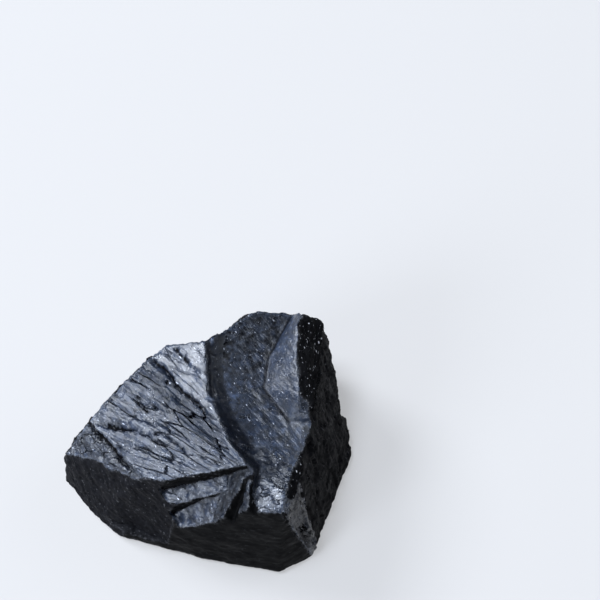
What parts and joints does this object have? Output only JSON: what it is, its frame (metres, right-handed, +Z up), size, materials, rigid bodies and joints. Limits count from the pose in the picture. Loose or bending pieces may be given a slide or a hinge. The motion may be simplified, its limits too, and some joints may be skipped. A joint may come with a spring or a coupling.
{
  "type": "rough agate stone",
  "caption": "Rough broken chunk of opaque black stone with a fluted slope, a shell-shaped hollow, chipped ledges and a flat underside it rests on.",
  "frame": {"origin": "Middle of the stone's bounding box in plan, at the height of its flat underside.", "axes": "+Z up from the flat underside; +X along the longest side, from the low left end to the high right side; +Y to the back."},
  "size_m": [0.0832, 0.0674, 0.0446],
  "materials": {
    "black_stone": "broken, silky to glossy"
  },
  "bodies": {
    "root": {"agate": "black_stone"}
  },
  "joints": []
}
